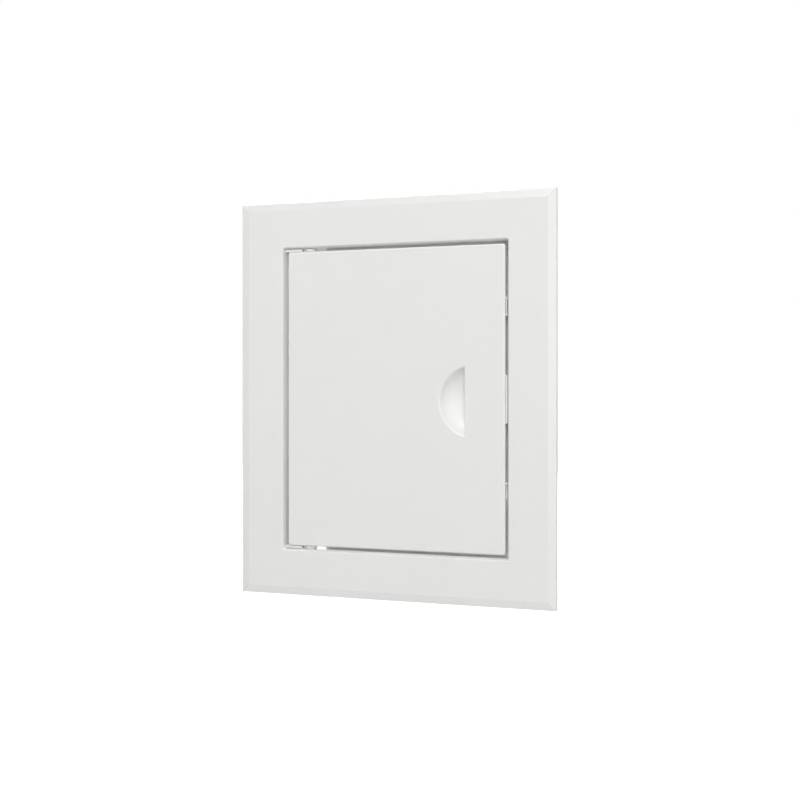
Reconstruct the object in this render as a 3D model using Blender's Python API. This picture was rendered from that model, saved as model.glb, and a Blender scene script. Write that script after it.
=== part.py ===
"""Ceiling access panel: a flanged frame, a hinged leaf, snap hinges and a sprung catch.

Metres, +Z up, +X to the right as seen from the front, and the front faces -Y.
The origin is the middle of the opening, in the plane of the board that the flange sits on.
"""
import math

import bmesh
import bpy
from mathutils import Matrix, Vector

MM = 0.001

# Clearances
CLEAR = 0.3 * MM            # between pieces that touch or slide on each other
SINK = 0.4 * MM             # how far a rib or boss starts inside what carries it
PAST = 1.0 * MM             # how far a cut runs past the face that it opens

# Frame
OPENING_W = 154.0 * MM      # between the collar's inner walls
OPENING_H = 204.4 * MM
OPENING_CORNER_R = 0.8 * MM
MARGIN = 31.8 * MM          # from the opening's wall to the flange's outer edge
EDGE_RISE = 1.8 * MM        # the thin outer edge, which leans inwards a little
EDGE_LEAN = 0.5 * MM
BEVEL_RISE = 1.0 * MM       # the broad bevel above it
BEVEL_W = 5.3 * MM
MOUTH_R = 1.0 * MM          # rounding where the flange turns into the opening
MOUTH_STEPS = 6
SEAT_LAND = 9.0 * MM        # the rim at the back that touches the board
RELIEF = 1.0 * MM           # how far the back lies below that rim
COLLAR_WALL = 2.0 * MM
COLLAR_DEPTH = 20.0 * MM
COLLAR_LEAD = 0.7 * MM      # chamfer round the collar's end
GUSSET_T = 1.6 * MM
GUSSET_FOOT = 6.0 * MM
GUSSET_RISE = 12.0 * MM
GUSSETS_PER_SIDE = 4
GUSSETS_PER_END = 3
STOP_LAP = 1.6 * MM         # how far the stops reach behind the leaf's skirt
STOP_T = 2.0 * MM
FIXING_HOLE_R = 2.1 * MM
FIXING_HOLE_Y = 14.0 * MM
FIXING_HOLE_Z = 50.0 * MM

# Leaf
HINGE_GAP = 3.0 * MM        # to the opening's wall on the hinge side
FREE_GAP = 1.4 * MM         # on the catch side
END_GAP = 2.4 * MM          # at the top and the bottom
LEAF_SUNK = 0.6 * MM        # the leaf's front below the flange's front
LEAF_SKIN = 2.0 * MM
LEAF_DEPTH = 8.0 * MM
SKIRT_T = 2.0 * MM
LEAF_CORNER_R = 1.6 * MM
LEAF_EDGE_R = 1.0 * MM
EDGE_STEPS = 6
RIB_T = 1.6 * MM
RIB_RISE = 3.5 * MM
RIB_ROWS = (-72.0 * MM, -38.0 * MM, 38.0 * MM, 72.0 * MM)
RIB_COLUMN_INSETS = (44.0 * MM, 82.0 * MM)    # from the leaf's hinge edge

# Finger recess: a round dish with a steep side, cut off straight on the catch side
BOWL_R = 24.8 * MM          # outline in the front
BOWL_BLEND = 2.2 * MM       # rounding of the rim
BOWL_SIDE = 52.0            # slope of the side, degrees
BOWL_FILLET = 15.0 * MM     # between the side and the dished floor
BOWL_FLOOR = 18.0           # slope where the floor meets that fillet, degrees
BOWL_WALL = 2.0 * MM
BOWL_INSET = 19.6 * MM      # the bowl's middle from the leaf's free edge
BOWL_Z = -1.3 * MM
PULL_EDGE_INSET = 26.4 * MM    # the straight edge that the fingers hook, from the leaf's free edge
BOWL_TURNS = 96
BOWL_STEPS = 8

# Hinges
HINGE_INSET = 10.8 * MM     # axis from the leaf's hinge edge
PIN_R = 1.5 * MM
PIN_HEAD_R = 2.5 * MM
PIN_HEAD_T = 1.5 * MM
PIN_FIT = 0.25 * MM
PIN_CHAMFER = 0.4 * MM
BOSS_R = 3.2 * MM
BOSS_LEN = 12.0 * MM
SOCKET_FRONT = 1.3 * MM     # the socket's front below the leaf's front
SOCKET_BACK_WALL = 2.0 * MM
SNAP_NECK = 2.5 * MM        # narrower than the pin, so that the pin snaps in
SNAP_MOUTH = 4.4 * MM
SNAP_LIP_LEN = 6.0 * MM     # the rounded lip past the slot
SOCKET_STEM_W = 6.0 * MM
SOCKET_STEM_D = 4.0 * MM
SOCKET_STEM_INSET = 2.2 * MM
BARB_H = 2.2 * MM
BARB_REACH = 0.8 * MM
BARB_SLIT = 1.2 * MM

# Catch
TONGUE_LEN = 31.0 * MM
TONGUE_SHOW = 0.7 * MM      # what stands out of the leaf's edge at the front
TONGUE_BITE = 0.6 * MM      # how far the tip reaches into the frame's window
TONGUE_TIP = 0.8 * MM
TONGUE_RAMP = 2.9 * MM
SHOULDER_LEN = 37.0 * MM
SHOULDER_T = 3.0 * MM
WINDOW_CLEAR = 0.45 * MM
POCKET_REACH = 13.6 * MM    # inside of the skirt to the spring's seat
POCKET_WALL = 2.0 * MM
SPRING_R = 1.7 * MM
SPRING_WIRE_R = 0.3 * MM
SPRING_TURNS = 6
SPRING_POINTS_PER_TURN = 12
SPIGOT_R = 1.0 * MM
SPIGOT_LEN = 4.0 * MM
SMALL_SIDES = 12            # sides of the small rods
COVER_T = 1.6 * MM
COVER_LAP = 8.2 * MM        # past the pocket, for the screws
COVER_CORNER_R = 2.0 * MM
SCREW_R = 1.0 * MM
SCREW_LEN = 5.5 * MM
SCREW_HEAD_R = 2.2 * MM
SCREW_HEAD_T = 1.5 * MM
SCREW_HEAD_TOP_R = 1.8 * MM
SCREW_CROSS_W = 0.7 * MM
SCREW_CROSS_ARM = 1.2 * MM
SCREW_CROSS_D = 0.8 * MM
SCREW_BOSS_R = 2.6 * MM
SCREW_FIT = 0.25 * MM
SCREW_OUT = 3.0 * MM        # screw's axis from the pocket's wall

# Buffers on the leaf's free edge
BUFFER_LEN = 12.6 * MM
BUFFER_Z = 59.6 * MM
BUFFER_SHOW = 0.8 * MM
BUFFER_NECK_LEN = 9.0 * MM
BUFFER_HEAD_T = 1.4 * MM
BUFFER_FRONT = 0.5 * MM     # below the back of the leaf's skin
BUFFER_CORNER_R = 0.9 * MM

# Round sections
ROUND_SIDES = 24
CORNER_STEPS = 6

# Places that follow from the sizes above
FLANGE_W = OPENING_W + 2 * MARGIN
FLANGE_H = OPENING_H + 2 * MARGIN
FLANGE_T = EDGE_RISE + BEVEL_RISE
LEAF_W = OPENING_W - HINGE_GAP - FREE_GAP
LEAF_H = OPENING_H - 2 * END_GAP
LEAF_LEFT = -OPENING_W / 2 + HINGE_GAP
LEAF_RIGHT = OPENING_W / 2 - FREE_GAP
LEAF_X = (LEAF_LEFT + LEAF_RIGHT) / 2
LEAF_FRONT = -FLANGE_T + LEAF_SUNK
SKIN_BACK = LEAF_FRONT + LEAF_SKIN
LEAF_BACK = LEAF_FRONT + LEAF_DEPTH
HINGE_X = LEAF_LEFT + HINGE_INSET
HINGE_Y = LEAF_BACK - BOSS_R
SKIRT_INSIDE = LEAF_RIGHT - SKIRT_T
BOWL_X = LEAF_RIGHT - BOWL_INSET
PULL_EDGE_X = LEAF_RIGHT - PULL_EDGE_INSET


def clear_scene():
    """Remove whatever the scene holds."""
    for thing in list(bpy.data.objects):
        bpy.data.objects.remove(thing, do_unlink=True)


def new_collection(name):
    group = bpy.data.collections.new(name)
    bpy.context.scene.collection.children.link(group)
    return group


def plastic(name, color, roughness):
    """An injection-moulded plastic."""
    material = bpy.data.materials.new(name)
    material.use_nodes = True
    shader = material.node_tree.nodes["Principled BSDF"]
    shader.inputs["Base Color"].default_value = (*color, 1.0)
    shader.inputs["Roughness"].default_value = roughness
    shader.inputs["Metallic"].default_value = 0.0
    material.diffuse_color = (*color, 1.0)
    return material


def panel_white():
    return plastic("panel_white", (0.80, 0.80, 0.79), 0.45)


def hinge_white():
    return plastic("hinge_white", (0.74, 0.74, 0.73), 0.40)


def buffer_grey():
    return plastic("buffer_grey", (0.70, 0.70, 0.69), 0.60)


def zinc_steel():
    """Bright zinc plate on the screws and the spring."""
    material = plastic("zinc_steel", (0.62, 0.63, 0.64), 0.30)
    material.node_tree.nodes["Principled BSDF"].inputs["Metallic"].default_value = 1.0
    return material


def mesh_piece(name, shape, group, material=None):
    """Turn a bmesh into an object of the given collection."""
    bmesh.ops.recalc_face_normals(shape, faces=shape.faces)
    mesh = bpy.data.meshes.new(name)
    shape.to_mesh(mesh)
    shape.free()
    piece = bpy.data.objects.new(name, mesh)
    group.objects.link(piece)
    if material:
        mesh.materials.append(material)
    return piece


def tool_piece(name, shape):
    """A shape that is joined to or cut from a part, and isn't a part itself."""
    tool = mesh_piece(name, shape, TOOLS)
    tool.hide_render = True
    tool.display_type = "WIRE"
    return tool


def combine(piece, tool, operation):
    step = piece.modifiers.new(tool.name, "BOOLEAN")
    step.operation = operation
    step.solver = "EXACT"
    step.object = tool


def join(piece, name, shape):
    combine(piece, tool_piece(name, shape), "UNION")


def cut(piece, name, shape):
    combine(piece, tool_piece(name, shape), "DIFFERENCE")


def box(low, high):
    """A box from its lowest to its highest corner."""
    low, high = Vector(low), Vector(high)
    shape = bmesh.new()
    bmesh.ops.create_cube(shape, size=1.0)
    bmesh.ops.scale(shape, vec=high - low, verts=shape.verts)
    bmesh.ops.translate(shape, vec=(low + high) / 2, verts=shape.verts)
    return shape


def loft(sections):
    """A closed solid through rings of equally many points."""
    shape = bmesh.new()
    rings = [[shape.verts.new(point) for point in section] for section in sections]
    for lower, upper in zip(rings, rings[1:]):
        for i, corner in enumerate(lower):
            j = (i + 1) % len(lower)
            shape.faces.new((corner, lower[j], upper[j], upper[i]))
    shape.faces.new(rings[0])
    shape.faces.new(rings[-1])
    return shape


def prism(outline, start, end):
    """A flat outline, given as 3-D points at start, pushed along to end."""
    shift = Vector(end) - Vector(start)
    points = [Vector(point) + Vector(start) for point in outline]
    return loft([points, [point + shift for point in points]])


def rod(radius, start, end, sides=ROUND_SIDES, end_radius=None):
    """A round bar or cone between two points."""
    start, end = Vector(start), Vector(end)
    along = end - start
    shape = bmesh.new()
    turn = along.to_track_quat("Z", "Y").to_matrix().to_4x4()
    bmesh.ops.create_cone(
        shape, cap_ends=True, segments=sides, radius1=radius,
        radius2=radius if end_radius is None else end_radius, depth=along.length,
        matrix=Matrix.Translation((start + end) / 2) @ turn)
    return shape


def round_rectangle(width, height, radius, y, x=0.0, z=0.0):
    """Corner points of an upright rectangle with round corners, at depth y."""
    points = []
    for quarter, (side_x, side_z) in enumerate(((1, 1), (-1, 1), (-1, -1), (1, -1))):
        for step in range(CORNER_STEPS + 1):
            angle = math.radians(90 * (quarter + step / CORNER_STEPS))
            points.append(Vector((
                x + side_x * (width / 2 - radius) + radius * math.cos(angle),
                y,
                z + side_z * (height / 2 - radius) + radius * math.sin(angle))))
    return points


def sharp_rectangle(width, height, y):
    return [Vector((x * width / 2, y, z * height / 2)) for x, z in ((1, 1), (-1, 1), (-1, -1), (1, -1))]


def evenly(count, length):
    """Places of count copies, evenly spread over a length about zero."""
    return [length * ((i + 1) / (count + 1) - 0.5) for i in range(count)]


def smooth(piece, degrees=30.0):
    """Shade round faces smooth and keep real edges sharp."""
    piece.data.shade_smooth()
    piece.data.set_sharp_from_angle(angle=math.radians(degrees))


def flange_shape():
    """The flange's plate: a leaning edge, then the broad bevel, mitred at the corners."""
    steps = (
        (0.0, 0.0),
        (EDGE_LEAN, -EDGE_RISE),
        (EDGE_LEAN + BEVEL_W, -FLANGE_T),
    )
    return loft([sharp_rectangle(FLANGE_W - 2 * inset, FLANGE_H - 2 * inset, y) for inset, y in steps])


def collar_shape():
    """The tube that goes through the board, solid until the opening is cut."""
    width = OPENING_W + 2 * COLLAR_WALL
    height = OPENING_H + 2 * COLLAR_WALL
    radius = OPENING_CORNER_R + COLLAR_WALL
    steps = (
        (0.0, -RELIEF - SINK),
        (0.0, COLLAR_DEPTH - COLLAR_LEAD),
        (COLLAR_LEAD, COLLAR_DEPTH),
    )
    return loft([
        round_rectangle(width - 2 * inset, height - 2 * inset, radius - inset, y) for inset, y in steps])


def opening_shape():
    """What the opening takes away, flaring to the flange's front in a quarter round."""
    sections = [round_rectangle(OPENING_W, OPENING_H, OPENING_CORNER_R, COLLAR_DEPTH + PAST)]
    for step in range(MOUTH_STEPS + 1):
        angle = math.radians(90 * step / MOUTH_STEPS)
        flare = MOUTH_R * (1 - math.cos(angle))
        y = -FLANGE_T + MOUTH_R * (1 - math.sin(angle))
        sections.append(round_rectangle(
            OPENING_W + 2 * flare, OPENING_H + 2 * flare, OPENING_CORNER_R + flare, y))
    flare = MOUTH_R
    sections.append(round_rectangle(
        OPENING_W + 2 * flare, OPENING_H + 2 * flare, OPENING_CORNER_R + flare, -FLANGE_T - PAST))
    return loft(sections)


def gusset_shape(place, facing):
    """A thin triangle between the flange's back and the collar; facing is away from the opening."""
    across = Vector((-facing.z, 0, facing.x))
    half = OPENING_W / 2 if facing.x else OPENING_H / 2
    wall = facing * (half + COLLAR_WALL) + across * place
    foot = -RELIEF
    corners = (
        wall - facing * SINK + Vector((0, foot - SINK, 0)),
        wall + facing * GUSSET_FOOT + Vector((0, foot - SINK, 0)),
        wall + facing * GUSSET_FOOT + Vector((0, foot + SINK, 0)),
        wall + Vector((0, foot + GUSSET_RISE, 0)),
        wall - facing * SINK + Vector((0, foot + GUSSET_RISE, 0)),
    )
    return prism(corners, -across * GUSSET_T / 2, across * GUSSET_T / 2)


def catch_window():
    """Front and back depth of the window that the tongue's tip snaps into."""
    front = SKIN_BACK + CLEAR
    bevel_share = (FREE_GAP - TONGUE_SHOW) / (FREE_GAP + TONGUE_BITE - TONGUE_SHOW)
    return front + TONGUE_RAMP * bevel_share - WINDOW_CLEAR, LEAF_BACK


def swing_radius():
    """The hinge edge of the leaf stays inside this radius about the hinge axis."""
    return math.hypot(HINGE_INSET, max(HINGE_Y - LEAF_FRONT, LEAF_BACK - HINGE_Y))


def build_frame(white):
    frame = mesh_piece("frame", flange_shape(), PARTS, white)
    relief = loft([
        round_rectangle(FLANGE_W - 2 * SEAT_LAND, FLANGE_H - 2 * SEAT_LAND, COLLAR_WALL, y)
        for y in (-RELIEF, PAST)])
    cut(frame, "back_relief", relief)
    join(frame, "collar", collar_shape())
    for side in (-1, 1):
        for number, z in enumerate(evenly(GUSSETS_PER_SIDE, OPENING_H)):
            join(frame, f"side_gusset_{side}_{number}", gusset_shape(z, Vector((side, 0, 0))))
        for number, x in enumerate(evenly(GUSSETS_PER_END, OPENING_W)):
            join(frame, f"end_gusset_{side}_{number}", gusset_shape(x, Vector((0, 0, side))))
    cut(frame, "opening", opening_shape())

    stop_front = LEAF_BACK + CLEAR
    stop_back = stop_front + STOP_T
    side_wall = OPENING_W / 2
    end_wall = OPENING_H / 2
    stop_start = HINGE_X + swing_radius() + STOP_T
    join(frame, "side_stop", box(
        (side_wall - FREE_GAP - STOP_LAP, stop_front, -end_wall - SINK),
        (side_wall + SINK, stop_back, end_wall + SINK)))
    for side in (-1, 1):
        reach = sorted((side * (end_wall + SINK), side * (end_wall - END_GAP - STOP_LAP)))
        join(frame, f"end_stop_{side}", box(
            (stop_start, stop_front, reach[0]), (side_wall + SINK, stop_back, reach[1])))

    window_front, window_back = catch_window()
    window_half = TONGUE_LEN / 2 + CLEAR + WINDOW_CLEAR
    cut(frame, "catch_window", box(
        (side_wall - PAST, window_front, -window_half),
        (side_wall + COLLAR_WALL + PAST, window_back, window_half)))
    for side in (-1, 1):
        for height in (-FIXING_HOLE_Z, FIXING_HOLE_Z):
            cut(frame, f"fixing_hole_{side}_{height:+.2f}", rod(
                FIXING_HOLE_R,
                (side * (side_wall - PAST), FIXING_HOLE_Y, height),
                (side * (side_wall + COLLAR_WALL + PAST), FIXING_HOLE_Y, height)))
        left, right, front, back = socket_stem_limits()
        reach = sorted((side * (end_wall - PAST), side * (end_wall + COLLAR_WALL + PAST)))
        cut(frame, f"socket_slot_{side}", box(
            (left - CLEAR, front - CLEAR, reach[0]), (right + CLEAR, back + CLEAR, reach[1])))
    smooth(frame)
    return frame


def leaf_shell():
    """The leaf's block with rounded front edges, solid until it is hollowed."""
    sections = []
    for step in range(EDGE_STEPS + 1):
        angle = math.radians(90 * step / EDGE_STEPS)
        inset = LEAF_EDGE_R * (1 - math.sin(angle))
        y = LEAF_FRONT + LEAF_EDGE_R * (1 - math.cos(angle))
        sections.append(round_rectangle(
            LEAF_W - 2 * inset, LEAF_H - 2 * inset, LEAF_CORNER_R - inset, y, LEAF_X))
    sections.append(round_rectangle(LEAF_W, LEAF_H, LEAF_CORNER_R, LEAF_BACK, LEAF_X))
    return loft(sections)


def bowl_profile(wall):
    """Radius and depth of the bowl from its middle to its rim.

    Three arcs run into each other: the dished floor, the fillet, and the round of the rim, which
    bends the other way. A wall above zero gives the outside of the bowl's wall, up into the skin.
    """
    floor = math.radians(BOWL_FLOOR)
    side = math.radians(BOWL_SIDE)
    fillet_w = BOWL_FILLET * (math.sin(side) - math.sin(floor))
    floor_r = (BOWL_R - BOWL_BLEND * math.sin(side) - fillet_w) / math.sin(floor)
    arcs = [(floor_r, 0.0, floor), (BOWL_FILLET, floor, side), (-BOWL_BLEND, side, 0.0)]
    bowl_depth = sum(bend * (math.cos(start) - math.cos(end)) for bend, start, end in arcs)
    points = [(0.0, bowl_depth + wall)]
    for bend, start, end in arcs[:2] if wall else arcs:
        radius, depth = points[-1]
        for i in range(1, BOWL_STEPS + 1):
            turn = start + (end - start) * i / BOWL_STEPS
            points.append((
                radius + (bend + wall) * (math.sin(turn) - math.sin(start)),
                depth - (bend + wall) * (math.cos(start) - math.cos(turn))))
    radius, depth = points[-1]
    if wall:
        points.append((radius + (depth - LEAF_SKIN / 2) / math.tan(side), LEAF_SKIN / 2))
    else:
        points.append((radius, -PAST))
    return points


def bowl_solid(wall, straight_x):
    """The bowl's round body, cut off straight at x."""
    profile = bowl_profile(wall)
    rings = [
        [Vector((
            BOWL_X + radius * math.cos(math.tau * i / BOWL_TURNS),
            LEAF_FRONT + depth,
            BOWL_Z + radius * math.sin(math.tau * i / BOWL_TURNS))) for i in range(BOWL_TURNS)]
        for radius, depth in profile[1:]]
    shape = loft(rings)
    bmesh.ops.bisect_plane(
        shape, geom=shape.verts[:] + shape.edges[:] + shape.faces[:], dist=MM / 1000,
        plane_co=(straight_x, 0, 0), plane_no=(1, 0, 0), clear_outer=True)
    cut_edges = [edge for edge in shape.edges if edge.is_boundary]
    bmesh.ops.holes_fill(shape, edges=cut_edges, sides=len(cut_edges))
    return shape


def catch_pocket():
    """Left and right limits of the pocket, and half its height."""
    return SKIRT_INSIDE - POCKET_REACH, SKIRT_INSIDE, SHOULDER_LEN / 2 + CLEAR


def screw_places():
    left, right, half = catch_pocket()
    return [((left + right) / 2, side * (half + POCKET_WALL + SCREW_OUT)) for side in (-1, 1)]


def build_leaf(white):
    leaf = mesh_piece("door_leaf", leaf_shell(), PARTS, white)
    leaf_inside = loft([
        round_rectangle(LEAF_W - 2 * SKIRT_T, LEAF_H - 2 * SKIRT_T, LEAF_CORNER_R / 2, y, LEAF_X)
        for y in (SKIN_BACK, LEAF_BACK + PAST)])
    cut(leaf, "leaf_inside", leaf_inside)

    inside_left = LEAF_LEFT + SKIRT_T
    inside_top = LEAF_H / 2 - SKIRT_T
    rib_front = SKIN_BACK - SINK
    rib_back = SKIN_BACK + RIB_RISE
    for number, z in enumerate(RIB_ROWS):
        join(leaf, f"rib_row_{number}", box(
            (inside_left - SINK, rib_front, z - RIB_T / 2),
            (SKIRT_INSIDE + SINK, rib_back, z + RIB_T / 2)))
    for number, inset in enumerate(RIB_COLUMN_INSETS):
        x = LEAF_LEFT + inset
        join(leaf, f"rib_column_{number}", box(
            (x - RIB_T / 2, rib_front, -inside_top - SINK),
            (x + RIB_T / 2, rib_back, inside_top + SINK)))
    join(leaf, "bowl_wall", bowl_solid(BOWL_WALL, PULL_EDGE_X + BOWL_WALL))

    for side in (-1, 1):
        join(leaf, f"hinge_boss_{side}", rod(
            BOSS_R,
            (HINGE_X, HINGE_Y, side * (LEAF_H / 2 - BOSS_LEN)),
            (HINGE_X, HINGE_Y, side * (LEAF_H / 2 - SKIRT_T / 2))))

    left, right, half = catch_pocket()
    outer = half + POCKET_WALL
    join(leaf, "pocket_seat", box((left - POCKET_WALL, rib_front, -outer), (left, LEAF_BACK, outer)))
    for side in (-1, 1):
        reach = sorted((side * half, side * outer))
        join(leaf, f"pocket_wall_{side}", box(
            (left - SINK, rib_front, reach[0]), (right + SINK, LEAF_BACK, reach[1])))
    for number, (x, z) in enumerate(screw_places()):
        join(leaf, f"screw_boss_{number}", rod(SCREW_BOSS_R, (x, rib_front, z), (x, LEAF_BACK, z)))

    cut(leaf, "bowl", bowl_solid(0.0, PULL_EDGE_X))
    for side in (-1, 1):
        cut(leaf, f"pin_hole_{side}", rod(
            PIN_R + PIN_FIT,
            (HINGE_X, HINGE_Y, side * (LEAF_H / 2 - BOSS_LEN - PAST)),
            (HINGE_X, HINGE_Y, side * (LEAF_H / 2 + PAST))))
    for number, (x, z) in enumerate(screw_places()):
        cut(leaf, f"screw_hole_{number}", rod(
            SCREW_R + SCREW_FIT, (x, SKIN_BACK + CLEAR, z), (x, LEAF_BACK + PAST, z)))
    tongue_half = TONGUE_LEN / 2 + CLEAR
    cut(leaf, "tongue_slot", box(
        (right - SINK, SKIN_BACK, -tongue_half), (LEAF_RIGHT + PAST, LEAF_BACK + PAST, tongue_half)))
    neck = BUFFER_NECK_LEN / 2 + CLEAR
    front, back = buffer_depths()
    for side in (-1, 1):
        cut(leaf, f"buffer_slot_{side}", box(
            (right - PAST, front + BUFFER_SHOW - CLEAR, side * BUFFER_Z - neck),
            (LEAF_RIGHT + PAST, back - BUFFER_SHOW + CLEAR, side * BUFFER_Z + neck)))
    smooth(leaf)
    return leaf


def socket_stem_limits():
    """Left, right, front and back of the stem that holds a hinge socket in the collar."""
    left = -OPENING_W / 2 + SOCKET_STEM_INSET
    return left, left + SOCKET_STEM_W, HINGE_Y - SOCKET_STEM_D / 2, HINGE_Y + SOCKET_STEM_D / 2


def socket_outline():
    """The socket seen along the hinge axis: web, slot with a snap neck, rounded lip."""
    front = LEAF_FRONT + SOCKET_FRONT
    seat_r = PIN_R + CLEAR
    back = HINGE_Y + seat_r + SOCKET_BACK_WALL
    neck = SNAP_NECK / 2
    neck_y = HINGE_Y - math.sqrt(seat_r ** 2 - neck ** 2)
    mouth = SNAP_MOUTH / 2
    points = [
        (-OPENING_W / 2 + CLEAR, front),
        (HINGE_X - mouth, front),
        (HINGE_X - neck, neck_y - neck / 2),
    ]
    start = math.atan2(neck_y - HINGE_Y, -neck) % math.tau
    end = math.atan2(neck_y - HINGE_Y, neck)
    steps = ROUND_SIDES
    for i in range(steps + 1):
        angle = start + (end - start) * i / steps
        points.append((HINGE_X + seat_r * math.cos(angle), HINGE_Y + seat_r * math.sin(angle)))
    points.append((HINGE_X + neck, neck_y - neck / 2))
    half = (back - front) / 2
    for i in range(steps + 1):
        angle = math.radians(-90 + 180 * i / steps)
        points.append((
            HINGE_X + mouth + SNAP_LIP_LEN * math.cos(angle),
            front + half + half * math.sin(angle)))
    points.append((-OPENING_W / 2 + CLEAR, back))
    return points


def build_socket(name, side, white):
    """A bearing clip in the gap beside the leaf, snapped through the collar's wall."""
    inner = side * (LEAF_H / 2 + CLEAR)
    outer = side * (OPENING_H / 2 - CLEAR)
    outline = [(x, y, 0.0) for x, y in socket_outline()]
    socket = mesh_piece(name, prism(outline, (0, 0, inner), (0, 0, outer)), PARTS, white)
    left, right, front, back = socket_stem_limits()
    barb_start = side * (OPENING_H / 2 + COLLAR_WALL + CLEAR)
    barb_end = barb_start + side * BARB_H
    stem = sorted((side * (OPENING_H / 2 - CLEAR - SINK), barb_end - side * BARB_H / 2))
    join(socket, f"{name}_stem", box((left, front, stem[0]), (right, back, stem[1])))

    def ring(reach, z):
        return [(x, y, z) for x, y in (
            (left - reach, front), (right + reach, front), (right + reach, back), (left - reach, back))]

    join(socket, f"{name}_barb", loft([
        ring(BARB_REACH, barb_start),
        ring(BARB_REACH, barb_start + side * BARB_H / 3),
        ring(-BARB_REACH / 2, barb_end)]))
    middle = (left + right) / 2
    slit = sorted((side * (OPENING_H / 2 + CLEAR), barb_end + side * PAST))
    cut(socket, f"{name}_slit", box(
        (middle - BARB_SLIT / 2, front - PAST, slit[0]), (middle + BARB_SLIT / 2, back + PAST, slit[1])))
    smooth(socket)
    return socket


def turned(profile, sides=ROUND_SIDES):
    """A solid turned about Z through pairs of radius and height."""
    return loft([
        [(radius * math.cos(math.tau * i / sides), radius * math.sin(math.tau * i / sides), z)
         for i in range(sides)] for radius, z in profile])


def build_pin(name, side, white):
    """A headed pin through the leaf's boss, its end in the socket."""
    tip = OPENING_H / 2 - CLEAR
    foot = LEAF_H / 2 - BOSS_LEN - CLEAR
    pin = mesh_piece(name, turned((
        (PIN_HEAD_R, side * (foot - PIN_HEAD_T)),
        (PIN_HEAD_R, side * foot),
        (PIN_R, side * foot),
        (PIN_R, side * (tip - PIN_CHAMFER)),
        (PIN_R - PIN_CHAMFER, side * tip))), PARTS, white)
    pin.location = (HINGE_X, HINGE_Y, 0)
    smooth(pin)
    return pin


def tongue_profile():
    """The tongue seen along the edge of the leaf, from its shoulder to its tip."""
    front = SKIN_BACK + CLEAR
    back = LEAF_BACK - CLEAR
    root = SKIRT_INSIDE - CLEAR - SINK
    tip = OPENING_W / 2 + TONGUE_BITE
    ramp_end = front + TONGUE_RAMP
    return (
        (root, front),
        (LEAF_RIGHT + TONGUE_SHOW, front),
        (tip, ramp_end),
        (tip, ramp_end + TONGUE_TIP),
        (LEAF_RIGHT + TONGUE_SHOW, back),
        (root, back),
    )


def build_tongue(white):
    """The sprung tongue: a ramped nose, a shoulder inside the leaf and a spigot for the spring."""
    half = TONGUE_LEN / 2
    outline = [(x, y, 0.0) for x, y in tongue_profile()]
    tongue = mesh_piece("catch_tongue", prism(outline, (0, 0, -half), (0, 0, half)), PARTS, white)
    front = SKIN_BACK + CLEAR
    back = LEAF_BACK - CLEAR
    shoulder_right = SKIRT_INSIDE - CLEAR
    shoulder_left = shoulder_right - SHOULDER_T
    join(tongue, "tongue_shoulder", box(
        (shoulder_left, front, -SHOULDER_LEN / 2), (shoulder_right, back, SHOULDER_LEN / 2)))
    middle = (front + back) / 2
    join(tongue, "tongue_spigot", rod(
        SPIGOT_R, (shoulder_left - SPIGOT_LEN, middle, 0), (shoulder_left + SINK, middle, 0), SMALL_SIDES))
    smooth(tongue)
    return tongue


def build_spring(steel):
    """The coil behind the tongue, round its spigot."""
    left, right, _ = catch_pocket()
    start = left + CLEAR + SPRING_WIRE_R
    end = right - 2 * CLEAR - SHOULDER_T - SPRING_WIRE_R
    middle = (SKIN_BACK + LEAF_BACK) / 2
    path = bpy.data.curves.new("catch_spring", "CURVE")
    path.dimensions = "3D"
    path.bevel_depth = SPRING_WIRE_R
    path.bevel_resolution = 1
    path.use_fill_caps = True
    path.render_resolution_u = 0
    coil = path.splines.new("POLY")
    count = SPRING_TURNS * SPRING_POINTS_PER_TURN
    coil.points.add(count)
    for i in range(count + 1):
        angle = math.tau * i / SPRING_POINTS_PER_TURN
        coil.points[i].co = (
            start + (end - start) * i / count,
            middle + SPRING_R * math.cos(angle),
            SPRING_R * math.sin(angle),
            1.0)
    spring = bpy.data.objects.new("catch_spring", path)
    PARTS.objects.link(spring)
    path.materials.append(steel)
    return spring


def build_cover(white):
    """The plate that closes the tongue's pocket."""
    left, right, half = catch_pocket()
    low = left - POCKET_WALL
    high = right - 2 * CLEAR
    width = high - low
    height = 2 * (half + COVER_LAP)
    front = LEAF_BACK + CLEAR
    cover = mesh_piece("catch_cover", loft([
        round_rectangle(width, height, COVER_CORNER_R, y, (low + high) / 2)
        for y in (front, front + COVER_T)]), PARTS, white)
    for number, (x, z) in enumerate(screw_places()):
        cut(cover, f"cover_hole_{number}", rod(
            SCREW_R + SCREW_FIT, (x, front - PAST, z), (x, front + COVER_T + PAST, z)))
    smooth(cover)
    return cover


def build_screw(name, place, steel):
    """A pan-head screw through the cover into the leaf."""
    x, z = place
    seat = LEAF_BACK + 2 * CLEAR + COVER_T
    screw = mesh_piece(name, rod(
        SCREW_R, (x, seat + SINK, z), (x, seat + SINK - SCREW_LEN, z), sides=SMALL_SIDES), PARTS, steel)
    join(screw, f"{name}_head", rod(
        SCREW_HEAD_R, (x, seat, z), (x, seat + SCREW_HEAD_T, z), end_radius=SCREW_HEAD_TOP_R))
    top = seat + SCREW_HEAD_T
    slot = SCREW_CROSS_W / 2
    for tag, reach_x, reach_z in (("a", SCREW_CROSS_ARM, slot), ("b", slot, SCREW_CROSS_ARM)):
        cut(screw, f"{name}_cross_{tag}", box(
            (x - reach_x, top - SCREW_CROSS_D, z - reach_z), (x + reach_x, top + PAST, z + reach_z)))
    smooth(screw)
    return screw


def buffer_depths():
    """Front and back of a buffer's pad."""
    return SKIN_BACK + BUFFER_FRONT, LEAF_BACK - BUFFER_FRONT


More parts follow.
